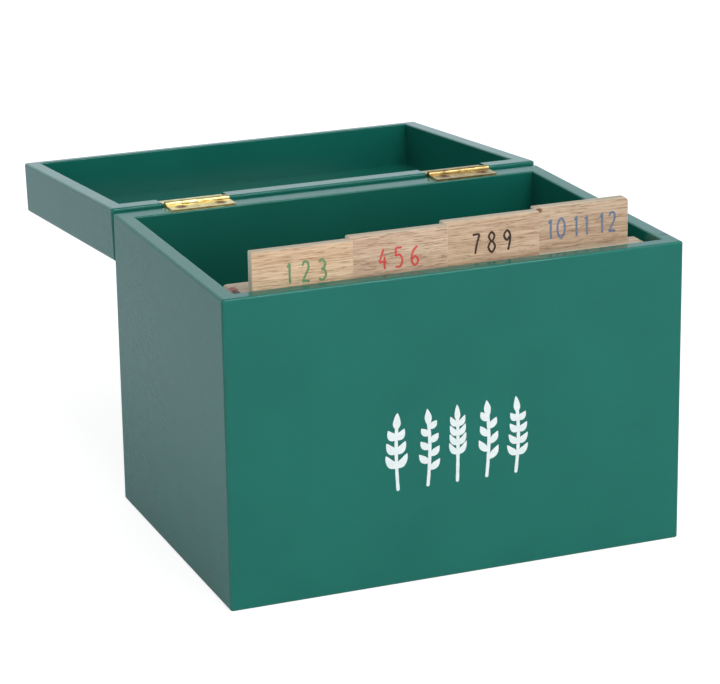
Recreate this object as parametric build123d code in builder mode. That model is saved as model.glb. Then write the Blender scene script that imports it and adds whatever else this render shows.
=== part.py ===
from build123d import *
import os
from math import acos, atan2, degrees, hypot, sqrt

# Painted wooden seed organizer box: a base, a lid on two brass butt hinges, and four upright
# dividers whose tabs stand above the rim.
#
# Millimetres and degrees. The origin is the centre of the underside, +Z is up and the front
# faces -Y. The box is drawn as it is used: open, with the lid swung back past the flat until the
# edge of its top rests against the back of the base.

# ---------------------------------------------------------------- driving dimensions

box_width = 235.0
box_depth = 166.0
base_height = 152.5
lid_height = 27.2
rim_gap = 0.3  # between the two rims when the lid is shut

# Boards. The back boards are thicker, to carry the hinges. The lid's front rail is thinner than
# the front board by a relief, because its inner face sweeps towards the tabs as the lid shuts.
front_thickness = 8.0
side_thickness = 8.0
back_thickness = 12.0
bottom_thickness = 5.0
lid_front_relief = 2.0
lid_top_thickness = 4.0
corner_lip = 3.0  # what the front and back boards leave over the ends of the sides
panel_housing = 4.0  # how far the two panels reach into the boards round them

# Eased edges of the wood
corner_radius = 1.6
rim_radius = 1.2
inner_rim_radius = 0.8
foot_radius = 1.0
lid_top_radius = 1.4

# Butt hinges
hinge_end_inset = 45.0  # from the side of the box to the middle of a hinge
hinge_length = 34.0
leaf_edge_inset = 1.2  # from the inner face of the back board to the leaf's edge
leaf_thickness = 1.0
leaf_gap = 0.1  # between the two leaves when the lid is shut
leaf_corner_radius = 0.4
knuckle_count = 4
knuckle_diameter = 3.4
knuckle_gap = 0.2  # between one knuckle's end and the next
slot_clearance = 0.9  # between a knuckle and the leaf that is cut back for it
pin_diameter = 1.6
pin_clearance = 0.05  # round the pin in the knuckles that turn on it
pin_chamfer = 0.25
barrel_clearance = 0.32  # between the knuckles and the wood that they turn beside
mortise_end_clearance = 1.0  # past each end of the leaf
lid_stop_gap = 0.1  # between the open lid's edge and the back of the base

# Hinge screws, countersunk at a right angle and slotted
screw_spacing = 21.0
screw_length = 9.0
screw_tip_length = 2.0
screw_head_sink = 0.2  # of the head's face below the leaf's
screw_hole_land = 0.1  # of the leaf, left straight below the countersink
screw_shank_diameter = 2.2
screw_hole_clearance = 0.1  # round the shank in the leaf
screw_slot_width = 0.6
screw_slot_depth = 0.35
screw_slot_turns = (25.0, -40.0)

# Dividers
divider_count = 4
divider_thickness = 5.0
divider_gap = 0.5  # between one divider and the next
divider_front_gap = 0.3  # from the front board to the first divider
divider_back_gap = 0.3  # from the back board to the last one, when it is pushed right back
divider_side_gap = 2.5
tab_end_inset = 7.0  # from a divider's end to the outermost tab
tab_headroom = 5.5  # between the tabs and the top of the shut lid
left_shoulder_drop = 2.0  # below the rim
right_shoulder_drop = 3.5  # lower, so that it leaves the tabs behind in view
shoulder_radius = 2.0
tab_radius = 0.8
last_tab_radius = 2.2  # at the free end of the row of tabs
tab_root_radius = 1.0
divider_foot_radius = 1.0
divider_edge_chamfer = 0.3

# ---------------------------------------------------------------- what follows from them

front_face = -box_depth / 2
back_face = box_depth / 2

inner_width = box_width - 2 * side_thickness
well_depth = box_depth - front_thickness - back_thickness
well_centre = (front_thickness - back_thickness) / 2
well_front = front_face + front_thickness

lid_front_thickness = front_thickness - lid_front_relief
tray_depth = box_depth - lid_front_thickness - back_thickness
tray_centre = (lid_front_thickness - back_thickness) / 2

panel_width = inner_width + 2 * panel_housing
bottom_panel_depth = well_depth + 2 * panel_housing
lid_panel_depth = tray_depth + 2 * panel_housing

hinge_places = {
    "left": -(box_width / 2 - hinge_end_inset),
    "right": box_width / 2 - hinge_end_inset,
}
knuckle_radius = knuckle_diameter / 2
knuckle_pitch = hinge_length / knuckle_count
barrel_reach = knuckle_radius + barrel_clearance

# The pin's axis lies midway between the leaves, one on the base's rim and one let into the lid,
# and as far behind the box as keeps the barrel clear of the rim's round edge.
pin_height = leaf_thickness + leaf_gap / 2
pin_setback = sqrt((barrel_reach + rim_radius) ** 2 - (pin_height + rim_radius) ** 2) - rim_radius
pin_y = back_face + pin_setback
pin_z = base_height + pin_height
leaf_width = pin_setback + back_thickness - leaf_edge_inset
screw_offset = (knuckle_radius + leaf_width) / 2
countersink_depth = leaf_thickness - screw_hole_land
countersink_diameter = screw_shank_diameter + 2 * countersink_depth
screw_head_diameter = countersink_diameter - 2 * screw_head_sink
mortise_depth = 2 * leaf_thickness + leaf_gap - rim_gap
mortise_length = hinge_length + 2 * mortise_end_clearance
mortise_edge_chamfer = sqrt(2) * barrel_reach - pin_setback - pin_height

# The lid leans back past the flat until the round edge of its top meets the back of the base.
# Seen along the pin, that edge's arc turns about the pin at edge_reach.
edge_y = pin_setback + lid_top_radius
edge_z = rim_gap + lid_height - pin_height - lid_top_radius
edge_reach = hypot(edge_y, edge_z)
lean = acos((lid_top_radius - pin_setback + lid_stop_gap) / edge_reach) - atan2(edge_z, edge_y)
open_angle = 180 + degrees(lean)

divider_width = inner_width - 2 * divider_side_gap
divider_pitch = divider_thickness + divider_gap
stack_depth = divider_count * divider_pitch - divider_gap
divider_travel = well_depth - divider_front_gap - stack_depth - divider_back_gap
tab_width = (divider_width - 2 * tab_end_inset) / divider_count
tab_top = base_height + rim_gap + lid_height - lid_top_thickness - tab_headroom
left_shoulder = base_height - left_shoulder_drop
right_shoulder = base_height - right_shoulder_drop

# The lid's frame: the origin is the middle of its rim, and +Z points to its top. pin_plane is
# the same frame moved to the pins. Both turn back by the open angle about the pins.
pin_plane = Plane((0, pin_y, pin_z)).rotated((-open_angle, 0, 0))
lid_plane = Plane(
    pin_plane.from_local_coords((0, -pin_y, rim_gap - pin_height)),
    x_dir=pin_plane.x_dir,
    z_dir=pin_plane.z_dir,
)
lid_top_plane = lid_plane.offset(lid_height)
lid_up = Axis(lid_plane.origin, lid_plane.z_dir)


def base_leaf_plane(hinge_x):
    """Frame of a leaf on the base: on the pin, +X along it, +Y to the leaf's edge, +Z into the wood."""
    return Plane((hinge_x, pin_y, pin_z), x_dir=(1, 0, 0), z_dir=(0, 0, -1))


def lid_leaf_plane(hinge_x):
    """The same frame for a leaf on the lid, which is the base's leaf turned end for end."""
    origin = pin_plane.from_local_coords((hinge_x, 0, 0))
    return Plane(origin, x_dir=-pin_plane.x_dir, z_dir=pin_plane.z_dir)


def screw_plane(leaf_plane):
    """Plane on the bare face of a leaf, midway between its screws and facing out of the wood."""
    origin = leaf_plane.from_local_coords((0, screw_offset, leaf_gap / 2))
    return Plane(origin, x_dir=leaf_plane.x_dir, z_dir=-leaf_plane.z_dir)


os.makedirs("parts", exist_ok=True)

# ---------------------------------------------------------------- base
# The outside, the well and the eased edges are drawn once, as the shell that the glued-up boards
# make. Each board is then its own share of that shell.

with BuildPart() as base_shell:
    with BuildSketch():
        Rectangle(box_width, box_depth)
    extrude(amount=base_height)
    fillet(base_shell.edges().filter_by(Axis.Z), radius=corner_radius)
    fillet(base_shell.faces().sort_by(Axis.Z)[-1].edges(), radius=rim_radius)
    fillet(base_shell.faces().sort_by(Axis.Z)[0].edges(), radius=foot_radius)
    with BuildSketch():
        with Locations((0, well_centre)):
            Rectangle(inner_width, well_depth)
    extrude(amount=base_height, mode=Mode.SUBTRACT)
    fillet(base_shell.faces().sort_by(Axis.Z)[-1].inner_wires()[0].edges(), radius=inner_rim_radius)
    with BuildSketch():
        with Locations((0, well_centre)):
            Rectangle(panel_width, bottom_panel_depth)
    extrude(amount=bottom_thickness, mode=Mode.SUBTRACT)

# The front and back boards are rebated at their ends for the side boards.
with BuildPart() as front_board:
    add(base_shell.part)
    with BuildSketch():
        with Locations((0, front_face)):
            Rectangle(box_width, corner_lip, align=(Align.CENTER, Align.MIN))
            Rectangle(inner_width, front_thickness, align=(Align.CENTER, Align.MIN))
    extrude(amount=base_height, mode=Mode.INTERSECT)

front_board.part.label = "front_board"
export_step(front_board.part, "parts/front_board.step")

with BuildPart() as back_board:
    add(base_shell.part)
    with BuildSketch():
        with Locations((0, back_face)):
            Rectangle(box_width, corner_lip, align=(Align.CENTER, Align.MAX))
            Rectangle(inner_width, back_thickness, align=(Align.CENTER, Align.MAX))
    extrude(amount=base_height, mode=Mode.INTERSECT)
    for hinge_x in hinge_places.values():
        with Locations(screw_plane(base_leaf_plane(hinge_x))):
            with GridLocations(screw_spacing, 1, 2, 1):
                Hole(screw_shank_diameter / 2, depth=screw_length)

back_board.part.label = "back_board"
export_step(back_board.part, "parts/back_board.step")

with BuildPart() as left_board:
    add(base_shell.part)
    with BuildSketch():
        with Locations((-box_width / 2, 0)):
            Rectangle(side_thickness, box_depth - 2 * corner_lip, align=(Align.MIN, Align.CENTER))
    extrude(amount=base_height, mode=Mode.INTERSECT)

left_board.part.label = "left_board"
export_step(left_board.part, "parts/left_board.step")

with BuildPart() as right_board:
    add(base_shell.part)
    with BuildSketch():
        with Locations((box_width / 2, 0)):
            Rectangle(side_thickness, box_depth - 2 * corner_lip, align=(Align.MAX, Align.CENTER))
    extrude(amount=base_height, mode=Mode.INTERSECT)

right_board.part.label = "right_board"
export_step(right_board.part, "parts/right_board.step")

with BuildPart() as bottom_panel:
    with BuildSketch():
        with Locations((0, well_centre)):
            Rectangle(panel_width, bottom_panel_depth)
    extrude(amount=bottom_thickness)

bottom_panel.part.label = "bottom_panel"
export_step(bottom_panel.part, "parts/bottom_panel.step")

# ---------------------------------------------------------------- lid
# The same again in the lid's own frame, where the rim is at the origin and the top at lid_height.

with BuildPart() as lid_shell:
    with BuildSketch(lid_plane):
        Rectangle(box_width, box_depth)
    extrude(amount=lid_height)
    fillet(lid_shell.edges().filter_by(lid_up), radius=corner_radius)
    fillet(lid_shell.faces().sort_by(lid_up)[-1].edges(), radius=lid_top_radius)
    fillet(lid_shell.faces().sort_by(lid_up)[0].edges(), radius=rim_radius)
    with BuildSketch(lid_plane):
        with Locations((0, tray_centre)):
            Rectangle(inner_width, tray_depth)
    extrude(amount=lid_height, mode=Mode.SUBTRACT)
    fillet(lid_shell.faces().sort_by(lid_up)[0].inner_wires()[0].edges(), radius=inner_rim_radius)
    with BuildSketch(lid_top_plane):
        with Locations((0, tray_centre)):
            Rectangle(panel_width, lid_panel_depth)
    extrude(amount=-lid_top_thickness, mode=Mode.SUBTRACT)

with BuildPart() as lid_front_rail:
    add(lid_shell.part)
    with BuildSketch(lid_plane):
        with Locations((0, front_face)):
            Rectangle(box_width, corner_lip, align=(Align.CENTER, Align.MIN))
            Rectangle(inner_width, lid_front_thickness, align=(Align.CENTER, Align.MIN))
    extrude(amount=lid_height, mode=Mode.INTERSECT)

lid_front_rail.part.label = "lid_front_rail"
export_step(lid_front_rail.part, "parts/lid_front_rail.step")

with BuildPart() as lid_back_rail:
    add(lid_shell.part)
    with BuildSketch(lid_plane):
        with Locations((0, back_face)):
            Rectangle(box_width, corner_lip, align=(Align.CENTER, Align.MAX))
            Rectangle(inner_width, back_thickness, align=(Align.CENTER, Align.MAX))
    extrude(amount=lid_height, mode=Mode.INTERSECT)
    # A mortise for each leaf, right through the rail, with its outer edge chamfered.
    with BuildSketch(lid_plane):
        for hinge_x in hinge_places.values():
            with Locations((hinge_x, back_face)):
                Rectangle(mortise_length, back_thickness, align=(Align.CENTER, Align.MAX))
    extrude(amount=mortise_depth, mode=Mode.SUBTRACT)
    for hinge_x in hinge_places.values():
        mortise_edge = lid_plane.from_local_coords((hinge_x, back_face, mortise_depth))
        with BuildSketch(Plane(mortise_edge, x_dir=lid_plane.y_dir, z_dir=lid_plane.x_dir)):
            with BuildLine():
                Polyline((0, 0), (-mortise_edge_chamfer, 0), (0, mortise_edge_chamfer), close=True)
            make_face()
        extrude(amount=mortise_length / 2, both=True, mode=Mode.SUBTRACT)
        with Locations(screw_plane(lid_leaf_plane(hinge_x))):
            with GridLocations(screw_spacing, 1, 2, 1):
                Hole(screw_shank_diameter / 2, depth=screw_length)

lid_back_rail.part.label = "lid_back_rail"
export_step(lid_back_rail.part, "parts/lid_back_rail.step")

with BuildPart() as lid_left_rail:
    add(lid_shell.part)
    with BuildSketch(lid_plane):
        with Locations((-box_width / 2, 0)):
            Rectangle(side_thickness, box_depth - 2 * corner_lip, align=(Align.MIN, Align.CENTER))
    extrude(amount=lid_height, mode=Mode.INTERSECT)

lid_left_rail.part.label = "lid_left_rail"
export_step(lid_left_rail.part, "parts/lid_left_rail.step")

with BuildPart() as lid_right_rail:
    add(lid_shell.part)
    with BuildSketch(lid_plane):
        with Locations((box_width / 2, 0)):
            Rectangle(side_thickness, box_depth - 2 * corner_lip, align=(Align.MAX, Align.CENTER))
    extrude(amount=lid_height, mode=Mode.INTERSECT)

lid_right_rail.part.label = "lid_right_rail"
export_step(lid_right_rail.part, "parts/lid_right_rail.step")

with BuildPart() as lid_top_panel:
    with BuildSketch(lid_top_plane):
        with Locations((0, tray_centre)):
            Rectangle(panel_width, lid_panel_depth)
    extrude(amount=-lid_top_thickness)

lid_top_panel.part.label = "lid_top_panel"
export_step(lid_top_panel.part, "parts/lid_top_panel.step")

# ---------------------------------------------------------------- hinges


def hinge_leaf(leaf_plane, bore_diameter):
    """One leaf with every other knuckle, its pin bore and its two countersunk screw holes.

    Both leaves of a hinge are this same piece, turned end for end: the knuckles of one fill the
    slots of the other. The plane is that of base_leaf_plane or lid_leaf_plane.
    """
    along_pin = Plane(leaf_plane.origin, x_dir=leaf_plane.y_dir, z_dir=leaf_plane.x_dir)
    with BuildPart() as leaf:
        with BuildSketch(leaf_plane.offset(leaf_gap / 2)) as plate:
            Rectangle(hinge_length, leaf_width, align=(Align.CENTER, Align.MIN))
            fillet(plate.vertices().group_by(Axis.Y)[-1], radius=leaf_corner_radius)
        extrude(amount=leaf_thickness)
        with BuildSketch(along_pin):
            Circle(knuckle_radius)
        extrude(amount=hinge_length / 2, both=True)
        # Cut back for the other leaf's knuckles.
        with BuildSketch(leaf_plane):
            for index in range(1, knuckle_count, 2):
                with Locations(((index + 0.5) * knuckle_pitch - hinge_length / 2, 0)):
                    Rectangle(knuckle_pitch + knuckle_gap, knuckle_diameter + 2 * slot_clearance)
        extrude(amount=knuckle_diameter, both=True, mode=Mode.SUBTRACT)
        with BuildSketch(along_pin):
            Circle(bore_diameter / 2)
        extrude(amount=hinge_length, both=True, mode=Mode.SUBTRACT)
        with Locations(screw_plane(leaf_plane)):
            with GridLocations(screw_spacing, 1, 2, 1):
                CounterSinkHole(
                    screw_shank_diameter / 2 + screw_hole_clearance,
                    countersink_diameter / 2,
                    depth=leaf_thickness,
                    counter_sink_angle=90,
                )
    return leaf.part


# A screw stands below the leaf's face, which is the XY plane, with its tip down -Z.
with BuildPart() as wood_screw:
    with BuildSketch(Plane.XZ):
        with BuildLine():
            Polyline(
                (0, -screw_head_sink),
                (screw_head_diameter / 2, -screw_head_sink),
                (screw_shank_diameter / 2, -countersink_depth),
                (screw_shank_diameter / 2, screw_tip_length - screw_length),
                (0, -screw_length),
                close=True,
            )
        make_face()
    revolve(axis=Axis.Z)
    with BuildSketch():
        Rectangle(2 * screw_head_diameter, screw_slot_width)
    extrude(amount=-(screw_head_sink + screw_slot_depth), mode=Mode.SUBTRACT)


def screw_pair(leaf_plane):
    """The two screws of a leaf, just below its face, their slots left at different turns."""
    left_turn, right_turn = screw_slot_turns
    with BuildPart(screw_plane(leaf_plane)) as screws:
        with Locations(
            Location((-screw_spacing / 2, 0, 0), (0, 0, left_turn)),
            Location((screw_spacing / 2, 0, 0), (0, 0, right_turn)),
        ):
            add(wood_screw.part)
    return screws.part


for side, hinge_x in hinge_places.items():
    # The pin is tight in the base's knuckles, and the lid's knuckles turn on it.
    base_leaf = hinge_leaf(base_leaf_plane(hinge_x), pin_diameter)
    base_leaf.label = f"{side}_hinge_base_leaf"
    export_step(base_leaf, f"parts/{base_leaf.label}.step")

    lid_leaf = hinge_leaf(lid_leaf_plane(hinge_x), pin_diameter + 2 * pin_clearance)
    lid_leaf.label = f"{side}_hinge_lid_leaf"
    export_step(lid_leaf, f"parts/{lid_leaf.label}.step")

    with BuildPart() as hinge_pin:
        with BuildSketch(Plane((hinge_x, pin_y, pin_z), z_dir=(1, 0, 0))):
            Circle(pin_diameter / 2)
        extrude(amount=hinge_length / 2, both=True)
        chamfer(hinge_pin.edges().filter_by(GeomType.CIRCLE), length=pin_chamfer)
    hinge_pin.part.label = f"{side}_hinge_pin"
    export_step(hinge_pin.part, f"parts/{hinge_pin.part.label}.step")

    base_screws = screw_pair(base_leaf_plane(hinge_x))
    base_screws.label = f"{side}_hinge_base_screws"
    export_step(base_screws, f"parts/{base_screws.label}.step")

    lid_screws = screw_pair(lid_leaf_plane(hinge_x))
    lid_screws.label = f"{side}_hinge_lid_screws"
    export_step(lid_screws, f"parts/{lid_screws.label}.step")

# ---------------------------------------------------------------- dividers
# They stand one behind the other on the bottom panel, pushed up to the front board. Each tab is
# one tab's width to the right of the tab in front.

for index in range(divider_count):
    divider_front = well_front + divider_front_gap + index * divider_pitch
    tab_left = (index - divider_count / 2) * tab_width
    tab_right = tab_left + tab_width
    corner_radii = {
        (-divider_width / 2, bottom_thickness): divider_foot_radius,
        (divider_width / 2, bottom_thickness): divider_foot_radius,
        (divider_width / 2, right_shoulder): shoulder_radius,
        (tab_right, right_shoulder): tab_root_radius,
        (tab_right, tab_top): last_tab_radius if index == divider_count - 1 else tab_radius,
        (tab_left, tab_top): tab_radius,
        (tab_left, left_shoulder): tab_root_radius,
        (-divider_width / 2, left_shoulder): shoulder_radius,
    }
    with BuildPart() as divider:
        with BuildSketch(Plane.XZ.offset(-divider_front)) as outline:
            with BuildLine():
                Polyline(*corner_radii, close=True)
            make_face()
            for corner, radius in corner_radii.items():
                fillet(outline.vertices().sort_by_distance(corner)[0], radius=radius)
        extrude(amount=-divider_thickness)
        chamfer(divider.faces().filter_by(Axis.Y).edges(), length=divider_edge_chamfer)
    divider.part.label = f"divider_{index + 1}"
    export_step(divider.part, f"parts/{divider.part.label}.step")

print(f"lid hinge: y {pin_y:.3f}, z {pin_z:.3f}, open angle {open_angle:.3f} deg")
print(f"divider travel: {divider_travel:.3f} in all, {divider_travel / divider_count:.4f} each")
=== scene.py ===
"""Finishes, painted marks and studio for a hinged wooden seed organizer box.

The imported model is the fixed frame. Every node keeps its shape and gets its finish here: satin
green paint on the case, polished brass on the hinges and oak veneer on the dividers. New pieces
are thin strokes of paint: five plant sprigs on the front and plain numbers on the four tabs.
Lengths are metres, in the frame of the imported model: +X right, -Y front, +Z up.
"""

import logging
import math
from dataclasses import dataclass, field, replace
from enum import Enum
from typing import Iterable, Optional, Sequence, Union

import bpy
import numpy as np
from mathutils import Matrix, Vector

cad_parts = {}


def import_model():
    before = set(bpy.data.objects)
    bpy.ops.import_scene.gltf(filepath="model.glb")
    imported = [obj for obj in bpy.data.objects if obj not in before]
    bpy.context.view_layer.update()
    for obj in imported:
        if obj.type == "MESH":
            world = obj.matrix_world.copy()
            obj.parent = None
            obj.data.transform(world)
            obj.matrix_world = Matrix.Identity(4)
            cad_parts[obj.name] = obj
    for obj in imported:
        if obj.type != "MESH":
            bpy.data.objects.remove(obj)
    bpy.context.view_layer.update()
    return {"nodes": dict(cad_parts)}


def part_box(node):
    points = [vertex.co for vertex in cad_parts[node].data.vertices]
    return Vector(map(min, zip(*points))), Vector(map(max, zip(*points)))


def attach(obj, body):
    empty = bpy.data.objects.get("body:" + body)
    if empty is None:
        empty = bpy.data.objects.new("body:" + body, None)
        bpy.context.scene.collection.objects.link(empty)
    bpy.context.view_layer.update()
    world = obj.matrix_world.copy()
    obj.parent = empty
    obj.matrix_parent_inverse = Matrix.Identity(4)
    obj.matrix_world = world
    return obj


LOG = logging.getLogger("seed_box")

MM = 0.001
Span = tuple[float, float]
Triple = tuple[float, float, float]
Colour = tuple[float, float, float]
Socket = Union[bpy.types.NodeSocket, float]

WHITE: Colour = (1.0, 1.0, 1.0)
STRONGEST_DISPLAY_VALUE = 255.0


def srgb(red: float, green: float, blue: float) -> Colour:
    """Turn display values into the linear values that a shader takes.

    A display value v, as a share of the strongest, becomes ((v + 0.055) / 1.055) ** 2.4, or
    v / 12.92 where it is 0.04045 or less.

    Args:
        red: display red, 0 to 255.
        green: display green, 0 to 255.
        blue: display blue, 0 to 255.

    Returns:
        The colour as linear red, green and blue, 0 to 1.
    """
    shown = np.array([red, green, blue]) / STRONGEST_DISPLAY_VALUE
    linear = np.where(shown <= 0.04045, shown / 12.92, ((shown + 0.055) / 1.055) ** 2.4)
    return tuple(float(part) for part in linear)


def toned(colour: Colour, share: float) -> Colour:
    """A colour made darker or lighter, as a share of itself."""
    return tuple(part * share for part in colour)


class GrainAxis(Enum):
    """Which way the wood runs in a board, as the stretch of its fibres along X, Y and Z."""

    ALONG_X = (1.0, 14.0, 14.0)
    ALONG_Y = (14.0, 1.0, 14.0)


class StrokeForm(Enum):
    """How a stroke's width runs along it."""

    PEN = "even width with round ends"
    LEAF = "pointed at both ends"


class LampUse(Enum):
    """What a lamp is for: it lights the box unseen, or shows only in what the box reflects."""

    LIGHT = "lights"
    MIRROR = "shows in reflections"


# ---------------------------------------------------------------------------- node trees


@dataclass(frozen=True)
class Pattern:
    """Soft noise: its lumps to a metre, its finer layers, how strong those are, and its stretch.

    With a stretch, the coordinates are multiplied by it first, and scale counts lumps to a metre
    of what comes out.
    """

    scale: float
    layers: float = 2.0
    strength: float = 0.5
    stretch: Optional[Triple] = None


class NodeGraph:
    """Builds the nodes of a material or a world, with a short method for each kind of node."""

    # Where a Mix node has its colour sockets: it gives their names to other sockets too.
    FIRST_COLOUR, SECOND_COLOUR, MIXED_COLOUR = 6, 7, 2

    # What soft noise is taken to lie between.
    NOISE_SPAN: Span = (0.3, 0.7)

    def __init__(self, owner: Union[bpy.types.Material, bpy.types.World]) -> None:
        """Start an empty tree with an output.

        Args:
            owner: the material or world that the nodes belong to.
        """
        self.owner = owner
        owner.use_nodes = True
        self.tree = owner.node_tree
        self.tree.nodes.clear()
        kind = "World" if isinstance(owner, bpy.types.World) else "Material"
        self.output = self.tree.nodes.new(f"ShaderNodeOutput{kind}")
        self.coordinates = self.tree.nodes.new("ShaderNodeTexCoord")
        self.still = self.coordinates.outputs["Object"]

    def node(self, kind: str, **inputs: Socket) -> bpy.types.Node:
        """Add a node and set or link its inputs by name, with _ for a space.

        Args:
            kind: Blender's node type.
            inputs: a number, colour or vector to set, or an output to link.

        Returns:
            The new node.
        """
        made = self.tree.nodes.new(kind)
        for name, value in inputs.items():
            self.feed(made.inputs[name.replace("_", " ")], value)
        return made

    def feed(self, socket: bpy.types.NodeSocket, value: Socket) -> None:
        """Link an output to an input, or set the input's own value.

        Args:
            socket: the input.
            value: an output socket, or the value to set.
        """
        if isinstance(value, bpy.types.NodeSocket):
            self.tree.links.new(value, socket)
        elif isinstance(value, tuple) and socket.type == "RGBA":
            socket.default_value = (*value, 1.0)
        else:
            socket.default_value = value

    def math(
        self, operation: str, first: Socket, second: Socket = 0.0, clamp: bool = False
    ) -> Socket:
        """Work out one number from one or two others.

        Args:
            operation: the Math node's operation, such as MULTIPLY.
            first: the first number.
            second: the second number.
            clamp: keep the result between 0 and 1.

        Returns:
            The result's output.
        """
        made = self.tree.nodes.new("ShaderNodeMath")
        made.operation = operation
        made.use_clamp = clamp
        self.feed(made.inputs[0], first)
        self.feed(made.inputs[1], second)
        return made.outputs[0]

    def chain(self, operation: str, parts: Sequence[Socket]) -> Socket:
        """Work out one number from several, by one operation from the first to the last.

        Args:
            operation: the Math node's operation, such as MULTIPLY.
            parts: the numbers.

        Returns:
            The result's output.
        """
        result = parts[0]
        for part in parts[1:]:
            result = self.math(operation, result, part)
        return result

    def off(self, value: Socket, middle: float) -> Socket:
        """How far a number is from a middle one, whichever way."""
        return self.math("ABSOLUTE", self.math("SUBTRACT", value, middle))

    def squares(self, first: Socket, second: Socket) -> Socket:
        """The sum of two numbers' squares."""
        return self.math(
            "ADD", self.math("POWER", first, 2.0), self.math("POWER", second, 2.0)
        )

    def place(self, stretch: Triple, shift: Triple) -> Socket:
        """Object coordinates, stretched and moved for a texture.

        Args:
            stretch: stretch along X, Y and Z.
            shift: how far the pattern is moved after stretching.

        Returns:
            The vector's output.
        """
        mapping = self.node("ShaderNodeMapping", Vector=self.still)
        mapping.inputs["Scale"].default_value = stretch
        mapping.inputs["Location"].default_value = shift
        return mapping.outputs["Vector"]

    def noise(self, pattern: Pattern, shift: Triple = (0.0, 0.0, 0.0)) -> Socket:
        """Soft noise between about 0.25 and 0.75, fixed to the object.

        Args:
            pattern: how coarse, layered and stretched it is.
            shift: how far a stretched pattern is moved.

        Returns:
            The noise value's output.
        """
        vector = self.still if pattern.stretch is None else self.place(pattern.stretch, shift)
        made = self.node("ShaderNodeTexNoise", Vector=vector, Scale=pattern.scale)
        made.inputs["Detail"].default_value = pattern.layers
        made.inputs["Roughness"].default_value = pattern.strength
        return made.outputs[0]

    def band(self, value: Socket, low: float, high: float) -> Socket:
        """A smooth step: 0 below low, 1 above high, and the other way round if low is above high.

        Args:
            value: the number that is tested.
            low: where the step is at 0.
            high: where the step is at 1.

        Returns:
            The step's output.
        """
        rising = low < high
        made = self.tree.nodes.new("ShaderNodeMapRange")
        made.interpolation_type = "SMOOTHSTEP"
        self.feed(made.inputs["Value"], value)
        made.inputs["From Min"].default_value = min(low, high)
        made.inputs["From Max"].default_value = max(low, high)
        made.inputs["To Min"].default_value = 0.0 if rising else 1.0
        made.inputs["To Max"].default_value = 1.0 if rising else 0.0
        return made.outputs["Result"]

    def spread(self, value: Socket, low: float, high: float) -> Socket:
        """Stretch noise from its own span over the range low to high.

        Args:
            value: the noise.
            low: the result at the span's lower end.
            high: the result at its upper end.

        Returns:
            The result's output.
        """
        least, most = self.NOISE_SPAN
        made = self.node("ShaderNodeMapRange", Value=value, From_Min=least, From_Max=most)
        made.inputs["To Min"].default_value = low
        made.inputs["To Max"].default_value = high
        return made.outputs["Result"]

    def blend(self, amount: Socket, first: Socket, second: Socket) -> Socket:
        """Mix two colours.

        Args:
            amount: 0 for the first, 1 for the second.
            first: a colour or its output.
            second: a colour or its output.

        Returns:
            The mixed colour's output.
        """
        made = self.tree.nodes.new("ShaderNodeMix")
        made.data_type = "RGBA"
        self.feed(made.inputs["Factor"], amount)
        self.feed(made.inputs[self.FIRST_COLOUR], first)
        self.feed(made.inputs[self.SECOND_COLOUR], second)
        return made.outputs[self.MIXED_COLOUR]

    def axes(self, vector: Socket) -> tuple[Socket, Socket, Socket]:
        """Split a vector.

        Args:
            vector: the vector's output.

        Returns:
            Its X, Y and Z outputs.
        """
        split = self.node("ShaderNodeSeparateXYZ", Vector=vector)
        return split.outputs[0], split.outputs[1], split.outputs[2]

    def facing(self) -> list[Socket]:
        """How squarely the surface faces along X, Y and Z, each from 0 to 1."""
        normal = self.coordinates.outputs["Normal"]
        return [self.math("ABSOLUTE", part) for part in self.axes(normal)]

    def relief(self, height: Socket, depth: float) -> Socket:
        """Bump from a height between 0 and 1.

        Args:
            height: the height's output.
            depth: metres from 0 to 1.

        Returns:
            The normal's output.
        """
        made = self.node("ShaderNodeBump", Height=height, Distance=depth)
        made.inputs["Strength"].default_value = 1.0
        return made.outputs["Normal"]

    def finish(self, **inputs: Socket) -> bpy.types.Material:
        """Close the tree with a principled shader.

        Args:
            inputs: the shader's inputs, with _ for a space.

        Returns:
            The finished material.
        """
        self.close(self.node("ShaderNodeBsdfPrincipled", **inputs))
        return self.owner

    def mix_shaders(
        self, amount: Socket, first: bpy.types.Node, second: bpy.types.Node
    ) -> bpy.types.Node:
        """Mix two shaders.

        Args:
            amount: 0 for the first, 1 for the second.
            first: a shader's node.
            second: a shader's node.

        Returns:
            The mixed shader's node.
        """
        made = self.node("ShaderNodeMixShader", Fac=amount)
        self.tree.links.new(first.outputs[0], made.inputs[1])
        self.tree.links.new(second.outputs[0], made.inputs[2])
        return made

    def close(self, shader: bpy.types.Node) -> None:
        """Link the last shader to the output."""
        self.tree.links.new(shader.outputs[0], self.output.inputs["Surface"])


# ---------------------------------------------------------------------------- finishes


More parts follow.
